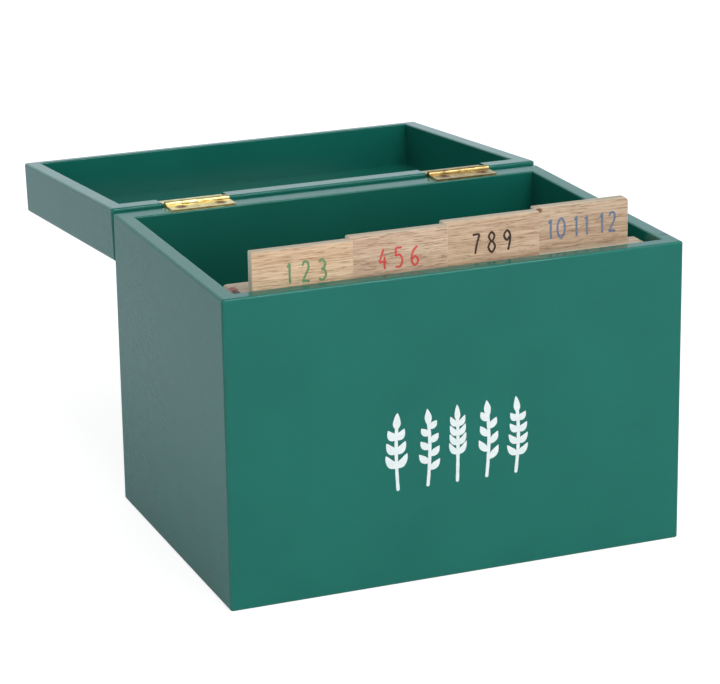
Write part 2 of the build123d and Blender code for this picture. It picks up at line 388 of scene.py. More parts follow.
@dataclass(frozen=True)
class PaintCrack:
    """A hairline across a rim, where the paint has opened over a joint in the board below.

    It runs from one end of x_range to the other at across_y, and down to lowest. It strays by
    wander either way, along the pattern of straying, and its sides fade out between the two
    shares of half_width in fade.
    """

    across_y: float
    x_range: Span
    lowest: float
    half_width: float = 0.42 * MM
    fade: Span = (2.0, 0.6)
    wander: float = 0.25 * MM
    straying: Pattern = Pattern(260.0, layers=1.0)
    soft_end: float = 0.4 * MM

    def mask(self, graph: NodeGraph) -> Socket:
        """Where the hairline is: near its line, within its width of the rim and above its foot.

        Args:
            graph: the paint's nodes.

        Returns:
            The mask's output, 1 in the crack.
        """
        x, y, z = graph.axes(graph.still)
        stray = graph.spread(graph.noise(self.straying), -self.wander, self.wander)
        from_line = graph.math("ADD", graph.math("SUBTRACT", y, self.across_y), stray)
        faint, dark = (self.half_width * share for share in self.fade)
        low_x, high_x = self.x_range
        soft = self.soft_end
        return graph.chain(
            "MULTIPLY",
            [
                graph.band(graph.math("ABSOLUTE", from_line), faint, dark),
                graph.band(x, low_x - soft, low_x + soft),
                graph.band(x, high_x + soft, high_x - soft),
                graph.band(z, self.lowest - soft, self.lowest + soft),
            ],
        )


@dataclass(frozen=True)
class SatinPaint:
    """Sprayed satin paint over wood: even colour, a soft sheen and a trace of the grain below.

    Each depth is the height from a pattern's 0 to its 1. pore_tone is how much darker open pores
    are, and with 0 there are none. The edge fields say where and how much the rounded edges turn
    lighter: paint worn thin there, and a painted highlight.
    """

    name: str
    grain: GrainAxis
    crack: Optional[PaintCrack] = None
    colour: Colour = srgb(21, 103, 91)
    # Lighter green on the rounded edges: paint worn thin, and a painted highlight.
    thin: Colour = srgb(66, 142, 124)
    tone_change: float = 0.05
    roughness: Span = (0.13, 0.2)
    sheen_index: float = 1.37
    sheen_tint: Colour = (0.84, 0.92, 1.0)
    clouds: Pattern = Pattern(22.0, layers=3.0)
    peel: Pattern = Pattern(900.0, layers=1.0)
    peel_depth: float = 0.008 * MM
    fibres: Pattern = Pattern(34.0, layers=4.0, strength=0.6)
    grain_depth: float = 0.014 * MM
    sags: Pattern = Pattern(95.0)
    sag_depth: float = 0.06 * MM
    nibs: Pattern = Pattern(420.0, layers=0.0)
    nib_band: Span = (0.76, 0.84)
    nib_depth: float = 0.02 * MM
    pores: Pattern = Pattern(34.0, layers=3.0, strength=0.6)
    pore_fineness: float = 2.0
    pore_band: Span = (0.5, 0.66)
    pore_tone: float = 0.0
    # How the rounded edges turn lighter: paint worn thin, and a painted highlight.
    edge_wear_highlight_band: Span = (0.975, 0.86)
    edge_wear_highlight_spread: Span = (0.4, 1.0)
    edge_wear_highlight_share: float = 0.22
    crack_tone: float = 0.12
    crack_depth: float = 0.3 * MM

    def material(self) -> bpy.types.Material:
        """Build the paint.

        Returns:
            The material.
        """
        graph = NodeGraph(bpy.data.materials.new(self.name))
        clouds = graph.noise(self.clouds)
        sags = graph.noise(self.sags)
        fibres = graph.noise(replace(self.fibres, stretch=self.grain.value))
        darker = toned(self.colour, 1.0 - self.tone_change)
        lighter = toned(self.colour, 1.0 + self.tone_change)
        colour = graph.blend(graph.spread(clouds, 0.0, 1.0), darker, lighter)
        if self.pore_tone:
            colour = graph.blend(
                self.pore_mask(graph), colour, toned(self.colour, 1.0 - self.pore_tone)
            )
        # Rounded edges lighter: paint worn thin, and a painted highlight.
        colour = graph.blend(self.edge_wear_highlight_mask(graph, sags), colour, self.thin)
        layers = [
            (graph.noise(self.peel), self.peel_depth),
            (fibres, self.grain_depth),
            (sags, self.sag_depth),
            (graph.band(graph.noise(self.nibs), *self.nib_band), self.nib_depth),
        ]
        millimetres = [graph.math("MULTIPLY", part, depth / MM) for part, depth in layers]
        height = graph.chain("ADD", millimetres)
        if self.crack is not None:
            opened = self.crack.mask(graph)
            colour = graph.blend(opened, colour, toned(self.colour, self.crack_tone))
            sunk = graph.math("MULTIPLY", opened, self.crack_depth / MM)
            height = graph.math("SUBTRACT", height, sunk)
        return graph.finish(
            Base_Color=colour,
            Roughness=graph.spread(clouds, *self.roughness),
            IOR=self.sheen_index,
            Specular_Tint=self.sheen_tint,
            Normal=graph.relief(height, MM),
        )

    def pore_mask(self, graph: NodeGraph) -> Socket:
        """Where the open pores are: narrow streaks along the grain, finer than the fibres.

        Args:
            graph: the paint's nodes.

        Returns:
            The mask's output.
        """
        along = min(self.grain.value)
        stretch = tuple(
            part if part == along else part * self.pore_fineness for part in self.grain.value
        )
        return graph.band(graph.noise(replace(self.pores, stretch=stretch)), *self.pore_band)

    def edge_wear_highlight_mask(self, graph: NodeGraph, sags: Socket) -> Socket:
        """Where the rounded edges, whose normal lies between two faces, turn lighter.

        There the paint is worn thin, and a painted highlight is added.

        Args:
            graph: the paint's nodes.
            sags: the noise of the paint's thickness.

        Returns:
            The mask's output, at most edge_wear_highlight_share.
        """
        flattest = graph.chain("MAXIMUM", graph.facing())
        between = graph.band(flattest, *self.edge_wear_highlight_band)
        worn = graph.spread(sags, *self.edge_wear_highlight_spread)
        return graph.chain("MULTIPLY", [between, worn, self.edge_wear_highlight_share])


@dataclass(frozen=True)
class RolledBrass:
    """Brass with fine drawn scratches along the pin, brown patches and a dark ring at its screws.

    The ring is dirt and painted shade of the countersinks. It starts at its reach from a screw's
    middle and is full within its core share of that.
    """

    name: str
    colour: Colour
    shaded: Colour
    screws: tuple[Span, ...] = ()
    patches: Span = (0.0, 0.8)
    roughness: Span = (0.26, 0.38)
    scratches: Pattern = Pattern(1.0, stretch=(90.0, 1400.0, 1400.0))
    scratch_depth: float = 0.012 * MM
    tarnish: Pattern = Pattern(300.0, layers=3.0)
    # Dark brown round the screws: dirt, and painted shade of the countersinks.
    dirt_and_shade: Colour = srgb(104, 60, 34)
    dirt_shade_reach: float = 3.6 * MM
    dirt_shade_core: float = 0.68
    dirt_shade_cover: Span = (0.9, 0.6)

    def material(self) -> bpy.types.Material:
        """Build the brass.

        Returns:
            The material.
        """
        graph = NodeGraph(bpy.data.materials.new(self.name))
        scratches = graph.noise(self.scratches)
        tarnish = graph.noise(self.tarnish)
        colour = graph.blend(graph.spread(tarnish, *self.patches), self.colour, self.shaded)
        x, y, _ = graph.axes(graph.still)
        for screw_x, screw_y in self.screws:
            across = graph.math("SUBTRACT", x, screw_x)
            along = graph.math("SUBTRACT", y, screw_y)
            away = graph.math("SQRT", graph.squares(across, along))
            # The dark ring round this screw: dirt and painted shade.
            dirt_shade_ring = graph.band(away, self.dirt_shade_reach, self.dirt_shade_reach * self.dirt_shade_core)
            cover = graph.math("MULTIPLY", dirt_shade_ring, graph.spread(tarnish, *self.dirt_shade_cover))
            colour = graph.blend(cover, colour, self.dirt_and_shade)
        return graph.finish(
            Base_Color=colour,
            Metallic=1.0,
            Roughness=graph.spread(scratches, *self.roughness),
            Normal=graph.relief(scratches, self.scratch_depth),
        )


@dataclass(frozen=True)
class DarkSpot:
    """A small dark spot that goes through a divider, longer than high and soft at its rim.

    It serves as a knot in the wood, and as painted shadow of the dark gap by the well's left wall.

    flatness is its length over its height. It fades in between the two values of fade, which
    are squares of the distance from its middle, as a share of its radius.
    """

    x: float
    z: float
    radius: float
    colour: Colour
    flatness: float = 1.5
    fade: Span = (1.3, 0.2)

    def mask(self, graph: NodeGraph, x: Socket, z: Socket) -> Socket:
        """Where the knot is.

        Args:
            graph: the veneer's nodes.
            x: the coordinate along the divider.
            z: the height coordinate.

        Returns:
            The mask's output.
        """
        half_length = self.radius * self.flatness
        across = graph.math("DIVIDE", graph.math("SUBTRACT", x, self.x), half_length)
        up = graph.math("DIVIDE", graph.math("SUBTRACT", z, self.z), self.radius)
        return graph.band(graph.squares(across, up), *self.fade)


@dataclass(frozen=True)
class OakVeneer:
    """Pale oak veneer on plywood: horizontal grain, short dark pores and brown laser-cut edges.

    The tone tints the two woods. Growth lines lie where the broad noise, times ring_count, is a
    half past a whole number. Pores and growth lines show only where the streaks are strong, by
    the two streak bands. The plies lie by ply_band, in shares of the thickness off its middle.
    """

    name: str
    face_y: float
    thickness: float
    shift: float
    tone: Colour
    dark_spots: tuple[DarkSpot, ...] = ()
    pale: Colour = srgb(234, 206, 176)
    tan: Colour = srgb(188, 152, 122)
    growth: Colour = srgb(156, 118, 88)
    pore: Colour = srgb(128, 96, 72)
    # Edge colours: pale outer plies and a brown core. Tops and ends turn lighter still, as painted
    # highlight.
    edge_pale: Colour = srgb(190, 178, 156)
    end_highlight: Colour = srgb(226, 222, 202)
    edge_brown: Colour = srgb(150, 126, 100)
    shift_shares: Triple = (1.0, 0.7, 1.3)
    broad: Pattern = Pattern(1.0, layers=3.0, stretch=(5.0, 5.0, 95.0))
    broad_tone: Span = (0.0, 0.4)
    streaks: Pattern = Pattern(1.0, layers=3.0, strength=0.65, stretch=(72.0, 72.0, 1500.0))
    streak_tone: Span = (-0.1, 0.7)
    dashes: Pattern = Pattern(1.0, layers=1.0, stretch=(175.0, 175.0, 2500.0))
    pore_band: Span = (0.55, 0.66)
    pore_streak_band: Span = (0.36, 0.54)
    pore_share: float = 0.66
    pore_sink: float = 0.6
    pore_depth: float = 0.05 * MM
    ring_count: float = 11.0
    ring_band: Span = (0.09, 0.0)
    ring_streak_band: Span = (0.38, 0.6)
    ring_share: float = 0.42
    facing_band: Span = (0.6, 0.86)
    # How far the tops and ends turn lighter: painted highlight.
    top_highlight_share: float = 0.6
    end_highlight_share: float = 0.75
    ply_band: Span = (0.26, 0.34)
    ply_waver: float = 0.15 * MM
    roughness: Span = (0.42, 0.56)
    sheen_index: float = 1.42

    def material(self) -> bpy.types.Material:
        """Build the veneer, with the ply showing on the edges.

        Returns:
            The material.
        """
        graph = NodeGraph(bpy.data.materials.new(self.name))
        moved = tuple(self.shift * share for share in self.shift_shares)
        broad = graph.noise(self.broad, moved)
        streaks = graph.noise(self.streaks, moved)
        dashes = graph.noise(self.dashes, moved)
        pores = graph.math(
            "MULTIPLY",
            graph.band(dashes, *self.pore_band),
            graph.band(streaks, *self.pore_streak_band),
        )
        x, y, z = graph.axes(graph.still)
        sides = graph.facing()
        not_facing, facing = self.facing_band
        colour = graph.blend(
            graph.band(sides[1], facing, not_facing),
            self.face_colour(graph, broad, streaks, pores),
            self.edge_colour(graph, y, dashes, sides),
        )
        # Dark spots: a knot in the wood, and painted shadow of the gap by the well's left wall.
        for knot in self.dark_spots:
            colour = graph.blend(knot.mask(graph, x, z), colour, knot.colour)
        sunk = graph.math("MULTIPLY", pores, self.pore_sink)
        return graph.finish(
            Base_Color=colour,
            Roughness=graph.spread(streaks, *self.roughness),
            IOR=self.sheen_index,
            Normal=graph.relief(graph.math("SUBTRACT", streaks, sunk), self.pore_depth),
        )

    def face_colour(
        self, graph: NodeGraph, broad: Socket, streaks: Socket, pores: Socket
    ) -> Socket:
        """Pale and tan wood in streaks, with darker growth lines and pores.

        Args:
            graph: the veneer's nodes.
            broad: the broad noise that the growth lines follow.
            streaks: the noise of the streaks.
            pores: 1 in a pore.

        Returns:
            The colour's output.
        """
        pale, tan = (
            tuple(part * tint for part, tint in zip(wood, self.tone))
            for wood in (self.pale, self.tan)
        )
        tone = graph.math(
            "ADD",
            graph.spread(broad, *self.broad_tone),
            graph.spread(streaks, *self.streak_tone),
            clamp=True,
        )
        lines = graph.math("FRACT", graph.math("MULTIPLY", broad, self.ring_count))
        grown = graph.chain(
            "MULTIPLY",
            [
                graph.band(graph.off(lines, 0.5), *self.ring_band),
                graph.band(streaks, *self.ring_streak_band),
                self.ring_share,
            ],
        )
        face = graph.blend(grown, graph.blend(tone, pale, tan), self.growth)
        return graph.blend(graph.math("MULTIPLY", pores, self.pore_share), face, self.pore)

    def edge_colour(
        self, graph: NodeGraph, y: Socket, dashes: Socket, sides: Sequence[Socket]
    ) -> Socket:
        """Pale outer plies and a brown middle one, by the depth behind the front face.

        The upper edges are paler than that, and the ends palest: painted highlight.

        Args:
            graph: the veneer's nodes.
            y: the depth coordinate.
            dashes: noise that breaks up the plies.
            sides: how squarely the surface faces along X, Y and Z.

        Returns:
            The colour's output.
        """
        from_middle = graph.off(y, self.face_y + self.thickness / 2)
        waver = graph.spread(dashes, -self.ply_waver, self.ply_waver)
        brown_half, pale_from = (self.thickness * share for share in self.ply_band)
        outer = graph.band(graph.math("ADD", from_middle, waver), brown_half, pale_from)
        ply = graph.blend(outer, self.edge_brown, self.edge_pale)
        # Tops and ends lighter: painted highlight, as if lit from above and the side.
        upper = (sides[2], self.top_highlight_share, self.edge_pale)
        ends = (sides[0], self.end_highlight_share, self.end_highlight)
        for side, share, colour in (upper, ends):
            squarely = graph.band(side, *self.facing_band)
            ply = graph.blend(graph.math("MULTIPLY", squarely, share), ply, colour)
        return ply


@dataclass(frozen=True)
class BrushedInk:
    """Flat water-based paint laid on with a small brush, where the ground shows in streaks."""

    name: str
    colour: Colour
    thin: Colour
    patches: Pattern = Pattern(1.0, layers=3.0, stretch=(110.0, 110.0, 900.0))
    worn: Span = (0.2, 0.9)
    roughness: Span = (0.5, 0.65)
    bristles: Pattern = Pattern(1.0, stretch=(700.0, 700.0, 700.0))
    bristle_depth: float = 0.01 * MM

    def material(self) -> bpy.types.Material:
        """Build the paint, thinner in places.

        Returns:
            The material.
        """
        graph = NodeGraph(bpy.data.materials.new(self.name))
        bristles = graph.noise(self.bristles)
        thinner = graph.spread(graph.noise(self.patches), *self.worn)
        return graph.finish(
            Base_Color=graph.blend(thinner, self.colour, self.thin),
            Roughness=graph.spread(bristles, *self.roughness),
            Normal=graph.relief(bristles, self.bristle_depth),
        )


def dress(node: bpy.types.Object, material: bpy.types.Material) -> None:
    """Give every material slot of an object one finish.

    Args:
        node: the object.
        material: its finish.
    """
    if not node.material_slots:
        node.data.materials.append(material)
    for slot in node.material_slots:
        slot.material = material


# ---------------------------------------------------------------------------- painted strokes


@dataclass(frozen=True)
class PaintedFace:
    """A flat upright face that strokes are painted on, facing -Y."""

    x: float
    y: float
    z: float

    def points(self, across: np.ndarray, up: np.ndarray, out: np.ndarray) -> np.ndarray:
        """Place points given across, up and out of the face.

        Args:
            across: metres to the right of the face's origin.
            up: metres above it.
            out: metres in front of it.

        Returns:
            The points, one row each.
        """
        return np.stack([self.x + across, self.y - out, self.z + up], axis=-1)


def smooth_path(
    corners: Sequence[Sequence[float]], closed: bool = False, samples: int = 56
) -> np.ndarray:
    """Carry a smooth line through a few points.

    Between points p1 and p2 the line is the cubic that leaves p1 along p2 - p0 and reaches p2
    along p3 - p1, half as long each. An open line bunches its samples towards both ends, by
    (1 - cos(pi t)) / 2, so that its round ends have enough of them.

    Args:
        corners: the points, as across and up.
        closed: join the last point to the first.
        samples: how many points the line gets.

    Returns:
        The line's points, one row each.
    """
    given = np.asarray(corners, dtype=float)
    if closed:
        padded = np.vstack([given[-1], given, given[0], given[1]])
        spans = len(given)
        place = np.linspace(0.0, spans, samples)
    else:
        padded = np.vstack([2 * given[0] - given[1], given, 2 * given[-1] - given[-2]])
        spans = len(given) - 1
        place = spans * (1 - np.cos(np.pi * np.linspace(0.0, 1.0, samples))) / 2
    span = np.minimum(place.astype(int), spans - 1)
    t = (place - span)[:, None]
    p0, p1, p2, p3 = (padded[span + k] for k in range(4))
    square = (2 * p0 - 5 * p1 + 4 * p2 - p3) * t**2
    cube = (3 * p1 - p0 - 3 * p2 + p3) * t**3
    return 0.5 * (2 * p1 + (p2 - p0) * t + square + cube)


def sideways(step: np.ndarray) -> np.ndarray:
    """Find which way lies to the left of a path, from its steps.

    Args:
        step: the way ahead at each point, of any length.

    Returns:
        The unit vectors a quarter turn to the left, one row each.
    """
    unit = step / np.linalg.norm(step, axis=1)[:, None]
    return np.stack([-unit[:, 1], unit[:, 0]], axis=1)


@dataclass
class PaintLayer:
    """Several strokes that dry as one piece of paint on one face."""

    face: PaintedFace
    film: float = 0.035 * MM
    bevel: float = 0.86
    overlap: float = 0.06
    levels: int = 7
    unevenness: float = 0.05
    hand_wave: float = 5.3 * MM
    leaf_lean: float = 0.8
    leaf_fullness: float = 0.85
    vertices: list[np.ndarray] = field(default_factory=list)
    faces: list[np.ndarray] = field(default_factory=list)
    count: int = 0

    def section(self) -> tuple[np.ndarray, np.ndarray]:
        """The film's outline: flat on top, bevelled at its edges, and as deep in as out.

        The film gets thicker by overlap from stroke to stroke, over as many levels as there are,
        so that no two that cross lie in one plane.

        Returns:
            How far each of its six points lies across, as a share of half the width, and out.
        """
        across = np.array([1.0, self.bevel, -self.bevel, -1.0, -self.bevel, self.bevel])
        out = self.film * np.array([0.0, 1.0, 1.0, 0.0, -1.0, -1.0])
        return across, out * (1 + self.overlap * (len(self.faces) % self.levels))

    def stroke(
        self, path: np.ndarray, width: float, form: StrokeForm = StrokeForm.PEN
    ) -> None:
        """Add one stroke: the film's section carried along a path.

        At distance s along the path the section is w(s) wide to each side. A pen stroke keeps
        w = width / 2 and closes round over its last half width. A leaf has w = width / 2 times
        sin(pi (s / length) ** leaf_lean) ** leaf_fullness, so it is widest before its middle.
        Both swell and thin by unevenness times sin(2 pi s / hand_wave) and shrink to a point at
        their ends.

        Args:
            path: the middle line, as across and up, one row a point.
            width: the widest that the stroke is.
            form: how the width runs.
        """
        side = sideways(np.gradient(path, axis=0))
        lengths = np.linalg.norm(np.diff(path, axis=0), axis=1)
        run = np.concatenate([[0.0], np.cumsum(lengths)])
        half = width / 2
        if form is StrokeForm.PEN:
            from_end = np.clip(np.minimum(run, run[-1] - run) / half, 0.0, 1.0)
            share = np.sqrt(1 - (1 - from_end) ** 2)
        else:
            share = np.sin(np.pi * (run / run[-1]) ** self.leaf_lean) ** self.leaf_fullness
        share[[0, -1]] = 0.0
        across, out = self.section()
        wave = np.sin(2 * np.pi * run / self.hand_wave + path[0, 0] / MM)
        swell = 1 + self.unevenness * wave
        spread = (share * swell)[:, None] * half * across
        middle = path[:, None, :] + side[:, None, :] * spread[:, :, None]
        level = np.sqrt(share)[:, None] * out
        self.add(self.face.points(middle[..., 0], middle[..., 1], level))

    def ring(self, path: np.ndarray, width: float) -> None:
        """Add a closed stroke: the same section carried round a loop.

        Args:
            path: the loop's middle line, where the last point repeats the first.
            width: the stroke's width.
        """
        loop = path[:-1]
        side = sideways(np.roll(loop, -1, axis=0) - np.roll(loop, 1, axis=0))
        across, out = self.section()
        middle = loop[:, None, :] + side[:, None, :] * (width / 2 * across)[None, :, None]
        level = np.broadcast_to(out, middle.shape[:2])
        grid = self.face.points(middle[..., 0], middle[..., 1], level)
        self.add(np.concatenate([grid, grid[:1]]), looped=True)

    def add(self, grid: np.ndarray, looped: bool = False) -> None:
        """Turn a grid of points, rings along a path, into a closed skin.

        Args:
            grid: the points, by ring and place in the ring.
            looped: the last ring is the first again.
        """
        rings, around = grid.shape[:2]
        index = np.arange(rings * around).reshape(rings, around)
        if looped:
            index[-1] = index[0]
        else:
            index[0] = index[0, 0]
            index[-1] = index[-1, 0]
        turned = np.roll(index, -1, axis=1)
        quads = np.stack([index[:-1], index[1:], turned[1:], turned[:-1]], axis=-1)
        self.vertices.append(grid.reshape(-1, 3))
        self.faces.append(quads.reshape(-1, 4) + self.count)
        self.count += rings * around

    def build(self, name: str, material: bpy.types.Material) -> bpy.types.Object:
        """Make the strokes one mesh object, facing out and without spare points.

        Args:
            name: the piece's name.
            material: its finish.

        Returns:
            The piece.
        """
        points = np.concatenate(self.vertices)
        used, packed = np.unique(np.concatenate(self.faces), return_inverse=True)
        corners = [list(dict.fromkeys(row)) for row in packed.reshape(-1, 4).tolist()]
        mesh = bpy.data.meshes.new(name)
        mesh.from_pydata(points[used].tolist(), [], corners)
        mesh.validate()
        piece = bpy.data.objects.new(name, mesh)
        bpy.context.scene.collection.objects.link(piece)
        dress(piece, material)
        return piece


# ---------------------------------------------------------------------------- sub-assemblies


@dataclass
class PaintedCase:
    """The boards of the base and the lid, all under one coat of paint.

    The lid's panel shows its grain the most, by the open_ fields.
    """

    nodes: dict[str, bpy.types.Object]
    boards: dict[GrainAxis, tuple[str, ...]] = field(
        default_factory=lambda: {
            GrainAxis.ALONG_X: ("front_board", "back_board", "bottom_panel")
            + ("lid_front_rail", "lid_back_rail", "lid_top_panel"),
            GrainAxis.ALONG_Y: ("left_board", "right_board", "lid_left_rail", "lid_right_rail"),
        }
    )
    cracked_board: str = "right_board"
    crack_behind_front: float = 14.5 * MM
    crack_on_rim: Span = (111.3 * MM, 118.0 * MM)
    crack_drop: float = 1.5 * MM
    open_board: str = "lid_top_panel"
    open_depth: float = 0.07 * MM
    open_pore_tone: float = 0.2
    open_roughness: Span = (0.15, 0.22)

    def crack(self) -> PaintCrack:
        """Place the hairline on the right rim, from the front and the top of the boards.

        Returns:
            The hairline.
        """
        across_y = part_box("front_board")[0].y + self.crack_behind_front
        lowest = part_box(self.cracked_board)[1].z - self.crack_drop
        return PaintCrack(across_y, self.crack_on_rim, lowest)

    def paint(self, name: str, grain: GrainAxis) -> SatinPaint:
        """Choose the paint of one board: plain, with the hairline or with open grain.

        Args:
            name: the board's name.
            grain: which way its wood runs.

        Returns:
            The paint.
        """
        plain = SatinPaint(f"paint_{name}", grain)
        if name == self.cracked_board:
            return replace(plain, crack=self.crack())
        if name != self.open_board:
            return plain
        return replace(
            plain,
            grain_depth=self.open_depth,
            pore_tone=self.open_pore_tone,
            roughness=self.open_roughness,
        )

    def dress(self) -> None:
        """Paint every board."""
        for grain, names in self.boards.items():
            for name in names:
                dress(self.nodes[name], self.paint(name, grain).material())
            LOG.info("painted %s", ", ".join(names))


@dataclass
class BrassHinges:
    """Both hinges: leaves, pins and screws.

    The right one is darker, as painted shade for the darker reflections it shows, and the screws
    darker still: older brass with painted shade of their sunk heads.
    """

    nodes: dict[str, bpy.types.Object]
    # The right hinge's darker pair is painted shade, for the darker reflections it shows.
    brass_tones: dict[str, tuple[Colour, Colour]] = field(
        default_factory=lambda: {
            "left": (srgb(253, 238, 176), srgb(196, 162, 92)),
            "right": (srgb(216, 188, 124), srgb(132, 98, 58)),
        }
    )
    # The screws are darker and redder: older brass, and painted shade of their sunk heads.
    screw_colour: Colour = srgb(196, 134, 78)
    screw_dark: Colour = srgb(104, 62, 36)
    screw_patches: Span = (0.0, 1.0)
    screw_roughness: Span = (0.3, 0.5)

    def screw_places(self, side: str) -> tuple[Span, ...]:
        """Where the four screws of a hinge stand, from the ends of each pair's box.

        Args:
            side: left or right.

        Returns:
            Each screw's X and Y.
        """
        places = []
        for leaf in ("base", "lid"):
            low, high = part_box(f"{side}_hinge_{leaf}_screws")
            head = (high.y - low.y) / 2
            places += [(low.x + head, low.y + head), (high.x - head, low.y + head)]
        return tuple(places)

    def dress(self) -> None:
        """Give the leaves and pins of each hinge its brass, and all the screws theirs."""
        worn = RolledBrass(
            "darker_screws",
            self.screw_colour,
            self.screw_dark,
            patches=self.screw_patches,
            roughness=self.screw_roughness,
        ).material()
        for side, (colour, shaded) in self.brass_tones.items():
            places = self.screw_places(side)
            brass = RolledBrass(f"{side}_brass", colour, shaded, screws=places).material()
            for part in ("base_leaf", "lid_leaf", "pin"):
                dress(self.nodes[f"{side}_hinge_{part}"], brass)
            for part in ("base_screws", "lid_screws"):
                dress(self.nodes[f"{side}_hinge_{part}"], worn)
            LOG.info("%s hinge: leaves, pin and screws", side)


Stroke = tuple[Span, ...]

# Each digit's closed and open strokes, as points in a cell from 0 to 1 across and up.
DIGIT_LOOPS: dict[str, tuple[Stroke, ...]] = {
    "0": (((0.5, 1.0), (0.08, 0.72), (0.08, 0.28), (0.5, 0.0), (0.92, 0.28), (0.92, 0.72)),),
    "8": (
        ((0.5, 1.0), (0.15, 0.8), (0.5, 0.55), (0.85, 0.8)),
        ((0.5, 0.55), (0.08, 0.27), (0.5, 0.0), (0.92, 0.27)),
    ),
}
DIGIT_STROKES: dict[str, tuple[Stroke, ...]] = {
    "1": (((0.25, 0.8), (0.55, 1.0)), ((0.55, 1.0), (0.52, 0.5), (0.56, 0.0))),
    "2": (
        ((0.08, 0.78), (0.3, 0.98), (0.72, 0.94), (0.8, 0.66), (0.4, 0.3), (0.06, 0.02)),
        ((0.06, 0.02), (0.5, 0.05), (0.95, 0.0)),
    ),
    "3": (
        ((0.1, 0.9), (0.5, 1.0), (0.84, 0.8), (0.68, 0.58), (0.34, 0.53)),
        ((0.34, 0.53), (0.8, 0.46), (0.9, 0.2), (0.5, 0.0), (0.05, 0.1)),
    ),
    "4": (
        ((0.6, 1.0), (0.3, 0.62), (0.04, 0.34)),
        ((0.04, 0.34), (0.5, 0.36), (0.98, 0.33)),
        ((0.72, 0.62), (0.7, 0.3), (0.73, 0.0)),
    ),
    "5": (
        ((0.88, 0.98), (0.5, 0.97), (0.16, 0.99)),
        ((0.16, 0.99), (0.13, 0.78), (0.1, 0.56)),
        ((0.1, 0.56), (0.6, 0.62), (0.92, 0.36), (0.68, 0.06), (0.06, 0.04)),
    ),
    "6": (
        ((0.82, 0.96), (0.3, 0.72), (0.08, 0.28), (0.5, 0.0), (0.9, 0.22), (0.55, 0.46), (0.14, 0.3)),
    ),
    "7": (((0.05, 0.96), (0.5, 0.98), (0.95, 0.97)), ((0.95, 0.97), (0.6, 0.5), (0.38, 0.0))),
    "9": (
        ((0.86, 0.72), (0.45, 0.52), (0.1, 0.76), (0.48, 1.0), (0.86, 0.78), (0.82, 0.4), (0.6, 0.0)),
    ),
}


@dataclass
class NumberHand:
    """A hand that letters tall narrow numbers with a fine brush: its cell, pen and spacing."""

    height: float = 9.8 * MM
    width: float = 4.1 * MM
    pen: float = 1.1 * MM
    gap: float = 1.5 * MM
    space: float = 4.0 * MM

    def write(self, layer: PaintLayer, words: Sequence[str]) -> None:
        """Letter a row of numbers about the face's origin.

        Args:
            layer: the paint that takes the strokes.
            words: the numbers, each as its digits.
        """
        lengths = [len(word) * self.width + (len(word) - 1) * self.gap for word in words]
        start = -(sum(lengths) + self.space * (len(words) - 1)) / 2
        size = np.array([self.width, self.height])
        for word, length in zip(words, lengths):
            for place, digit in enumerate(word):
                left = start + place * (self.width + self.gap)
                corner = np.array([left, -self.height / 2])
                for points in DIGIT_LOOPS.get(digit, ()):
                    layer.ring(smooth_path(points, closed=True) * size + corner, self.pen)
                for points in DIGIT_STROKES.get(digit, ()):
                    layer.stroke(smooth_path(points) * size + corner, self.pen)
            start += length + self.space


@dataclass(frozen=True)
class TabLabel:
    """What one tab says, in what colour, how far below its top and how far right of its middle."""

    words: tuple[str, ...]
    ink: BrushedInk
    below_top: float
    shift: float = 0.0


